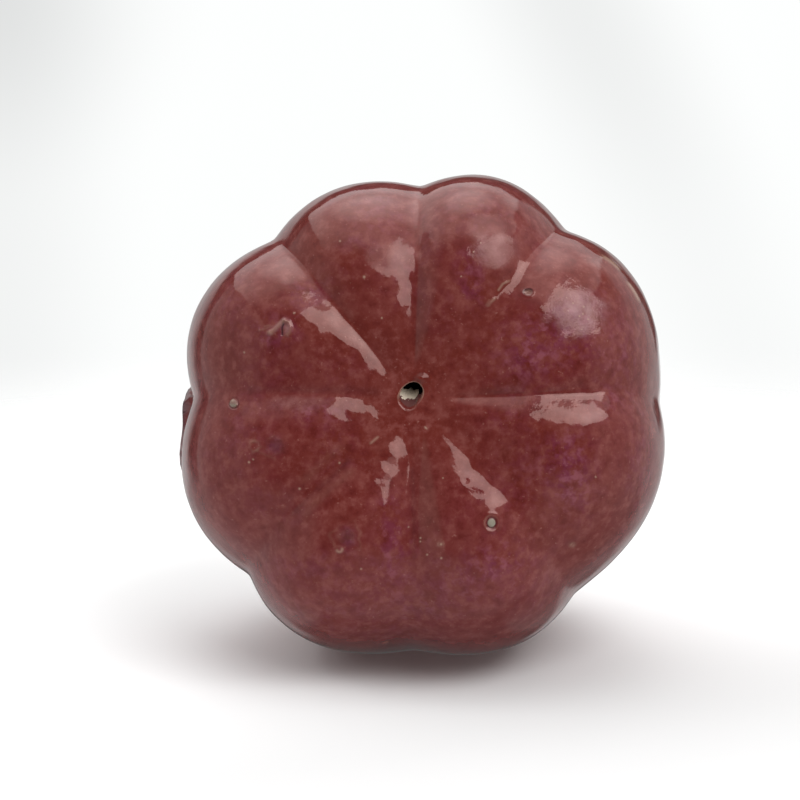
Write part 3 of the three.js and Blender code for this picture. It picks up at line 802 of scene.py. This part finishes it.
rough = maths(tree, "MAXIMUM", rough, remap(tree, mid, 0.3, 0.7, 0.03, 0.07))
tree.links.new(rough, shader.inputs["Roughness"])
bump = node(tree, "ShaderNodeBump")
bump.inputs["Strength"].default_value = 0.7
bump.inputs["Distance"].default_value = 0.00004
tree.links.new(clouds(tree, coord, 1.8, 3, 0.5), bump.inputs["Height"])
crystals = node(tree, "ShaderNodeBump")
crystals.inputs["Strength"].default_value = 1.0
crystals.inputs["Distance"].default_value = 0.00004
tree.links.new(maths(tree, "MULTIPLY", clouds(tree, coord, 0.45, 2, 0.6), attribute(tree, "frost_and_sheen")), crystals.inputs["Height"])
tree.links.new(bump.outputs["Normal"], crystals.inputs["Normal"])
tree.links.new(crystals.outputs["Normal"], shader.inputs["Normal"])
mesh.materials.append(glaze)

# ---------------------------------------------------------------- floor, light, camera
floor_mesh = bpy.data.meshes.new("floor")
fb = bmesh.new()
bmesh.ops.create_circle(fb, cap_ends=True, segments=96, radius=1.3)
fb.to_mesh(floor_mesh)
fb.free()
floor = bpy.data.objects.new("floor", floor_mesh)
bpy.context.scene.collection.objects.link(floor)
paper, ftree, fshader = new_material("pale_floor")
fshader.inputs["Roughness"].default_value = 0.9
fshader.inputs["Specular IOR Level"].default_value = 0.1
fcoord = node(ftree, "ShaderNodeTexCoord").outputs["Object"]
faxes = node(ftree, "ShaderNodeSeparateXYZ")
ftree.links.new(fcoord, faxes.inputs[0])
# painted light and shade: the floor colour is lighter to the left and darker towards the front right
toward_front = maths(ftree, "SUBTRACT", maths(ftree, "MULTIPLY", faxes.outputs[0], 0.5), faxes.outputs[1])
tone = maths(ftree, "SUBTRACT", remap(ftree, faxes.outputs[0], -0.11, -0.05, 0.97, 0.895), remap(ftree, toward_front, 0.004, 0.10, 0.0, 0.18))
ftree.links.new(mix(ftree, tone, (0, 0, 0), (1, 1, 1)), fshader.inputs["Base Color"])
# painted light: the floor glows faintly, lightening the shadow under the object
fshader.inputs["Emission Color"].default_value = (1, 1, 1, 1)
fshader.inputs["Emission Strength"].default_value = 0.03
flen = node(ftree, "ShaderNodeVectorMath", operation="DISTANCE")
flen.inputs[1].default_value = (0.02, 0.0, 0.0)
ftree.links.new(fcoord, flen.inputs[0])
ftree.links.new(remap(ftree, flen.outputs["Value"], 0.13, 0.45, 1.0, 0.0), fshader.inputs["Alpha"])
floor_mesh.materials.append(paper)
floor.visible_glossy = False


def softbox(name, at, aim, width, height, radiance, colour=(1, 1, 1), roll=0.0):
    data = bpy.data.lights.new(name, "AREA")
    data.shape = "RECTANGLE"
    data.size = width
    data.size_y = height
    data.energy = radiance * math.pi * width * height
    data.color = colour
    ob = bpy.data.objects.new(name, data)
    bpy.context.scene.collection.objects.link(ob)
    ob.location = at
    turn = (Vector(aim) - Vector(at)).to_track_quat("-Z", "Y") @ Quaternion((0, 0, 1), math.radians(roll))
    ob.rotation_euler = turn.to_euler()
    ob.visible_camera = False
    return ob


box = softbox("softbox_right", (0.395, -0.508, 0.684), (0.0, 0.0, 0.055), 0.81, 0.55, 3.6, roll=19.8)
box.data.use_nodes = True
lt = box.data.node_tree
spot = node(lt, "ShaderNodeVectorMath", operation="DISTANCE")
lt.links.new(node(lt, "ShaderNodeNewGeometry").outputs["Parametric"], spot.inputs[0])
spot.inputs[1].default_value = (0.58, 0.45, 0.0)
lt.links.new(remap(lt, spot.outputs["Value"], 0.05, 0.60, 1.28, 0.80), lt.nodes["Emission"].inputs["Strength"])
fill = softbox("fill_left", (-0.60, 0.25, 0.40), (0.0, 0.0, 0.02), 0.45, 0.45, 1.5)
fill.visible_glossy = False

# the room: a large soft light above and behind, pale walls at the sides, paper below
world = bpy.data.worlds.new("studio")
bpy.context.scene.world = world
world.use_nodes = True
wt = world.node_tree
back = wt.nodes["Background"]
direction = node(wt, "ShaderNodeTexCoord").outputs["Generated"]
axes = node(wt, "ShaderNodeSeparateXYZ")
wt.links.new(direction, axes.inputs[0])
wx, wy, wz = axes.outputs
left = maths(wt, "MULTIPLY", remap(wt, wx, -0.45, -0.85, 0.0, 0.44), remap(wt, wy, 0.59, 0.65, 1.0, 0.15))
right = maths(wt, "MAXIMUM", remap(wt, wx, 0.45, 0.90, 0.0, 0.42), maths(wt, "MULTIPLY", remap(wt, wy, 0.40, 0.62, 0.0, 0.45), maths(wt, "MULTIPLY", remap(wt, wx, 0.36, 0.46), remap(wt, wz, -0.55, -0.30))))
right = maths(wt, "MULTIPLY", right, maths(wt, "SUBTRACT", 1.0, maths(wt, "MULTIPLY", remap(wt, wy, 0.885, 0.905, 0.0, 0.85), remap(wt, wz, -0.16, -0.11))))
right_low = maths(wt, "MULTIPLY", maths(wt, "MULTIPLY", remap(wt, wy, 0.55, 0.75, 0.0, 0.48), remap(wt, wx, 0.10, 0.22)), maths(wt, "MULTIPLY", remap(wt, wz, -0.09, -0.16), remap(wt, wz, -0.55, -0.42)))
left_low = maths(wt, "MULTIPLY", maths(wt, "MULTIPLY", remap(wt, wy, 0.70, 0.82, 0.0, 0.36), remap(wt, wx, -0.12, -0.24)), remap(wt, wz, -0.16, -0.26))
right = maths(wt, "MAXIMUM", right, maths(wt, "MAXIMUM", right_low, left_low))
shade = maths(wt, "MULTIPLY", remap(wt, wy, -0.15, 0.22, 1.0, 0.30), remap(wt, wy, 0.25, 0.60, 1.0, 0.35))
shade = maths(wt, "MAXIMUM", shade, maths(wt, "MAXIMUM", remap(wt, wx, -0.20, -0.42, 0.0, 0.92), remap(wt, wx, 0.22, 0.38, 0.0, 0.48)))
paper_below = maths(wt, "MULTIPLY", remap(wt, wz, -0.02, -0.50, 0.0, 0.42), shade)
low = maths(wt, "MAXIMUM", maths(wt, "MAXIMUM", left, right), paper_below)
toward = maths(wt, "ADD", maths(wt, "MULTIPLY", wy, 0.309), maths(wt, "MULTIPLY", wz, 0.951))
canopy = maths(wt, "ADD", remap(wt, toward, 0.38, 0.80, 0.0, 1.21), remap(wt, toward, 0.86, 1.0, 0.0, 1.35))
slant = maths(wt, "DIVIDE", wx, maths(wt, "MAXIMUM", wz, 0.05))
edge = remap(wt, maths(wt, "SUBTRACT", wz, maths(wt, "MULTIPLY", wy, 0.47)), 0.0, 0.02)
edge = maths(wt, "MULTIPLY", edge, maths(wt, "MULTIPLY", remap(wt, slant, -1.22, -1.16), remap(wt, slant, 1.04, 0.92)))
canopy = maths(wt, "MULTIPLY", maths(wt, "MULTIPLY", canopy, edge), remap(wt, slant, 0.05, 0.5, 1.0, 0.78))
lean = maths(wt, "ADD", wz, maths(wt, "MULTIPLY", maths(wt, "MAXIMUM", maths(wt, "MINIMUM", wx, 0.2), -0.2), 0.3))
backdrop = mix(wt, remap(wt, wx, 0.1, 0.3), remap(wt, wy, 0.74, 0.90, 0.0, 0.46), remap(wt, wy, 0.93, 0.97, 0.0, 0.40))
backdrop = maths(wt, "MULTIPLY", backdrop, maths(wt, "MULTIPLY", remap(wt, lean, 0.20, 0.12), remap(wt, wz, -0.30, -0.17)))
level = maths(wt, "ADD", maths(wt, "ADD", low, canopy), maths(wt, "ADD", backdrop, 0.06))
ray = node(wt, "ShaderNodeLightPath").outputs["Is Camera Ray"]
# the backdrop itself: painted shade, a little darker to the left, in one corner and along a soft fold
fold = maths(wt, "ABSOLUTE", maths(wt, "SUBTRACT", wx, maths(wt, "SUBTRACT", 0.0333, maths(wt, "MULTIPLY", wz, 0.5076))))
fold = maths(wt, "MULTIPLY", remap(wt, fold, 0.0, 0.048, 1.0, 0.0), remap(wt, wz, -0.044, -0.14, 0.13, 0.05))
corner = node(wt, "ShaderNodeVectorMath", operation="DISTANCE")
wt.links.new(direction, corner.inputs[0])
corner.inputs[1].default_value = (-0.131, 0.99, -0.040)
fold = maths(wt, "ADD", fold, remap(wt, corner.outputs["Value"], 0.0, 0.075, 0.14, 0.0))
fold = maths(wt, "ADD", fold, remap(wt, wx, -0.134, -0.075, 0.10, 0.0))
seen = mix(wt, maths(wt, "SUBTRACT", 1.0, fold), (0, 0, 0), (0.988, 1.0, 0.996))
sky = mix(wt, ray, level, seen)
wt.links.new(sky, back.inputs["Color"])

cam_data = bpy.data.cameras.new("camera")
cam = bpy.data.objects.new("camera", cam_data)
bpy.context.scene.collection.objects.link(cam)
cam.location = Vector(CAM * MM)
cam.rotation_euler = (Vector(AIM) - Vector(CAM)).to_track_quat("-Z", "Y").to_euler()
cam_data.sensor_fit = "HORIZONTAL"
cam_data.sensor_width = 36.0
cam_data.lens = FOCAL / 800 * 36.0
cam_data.clip_start = 0.01
bpy.context.scene.camera = cam
bpy.context.scene.view_settings.view_transform = "Standard"

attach(fruit, "root")
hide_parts("ceramic_fruit")
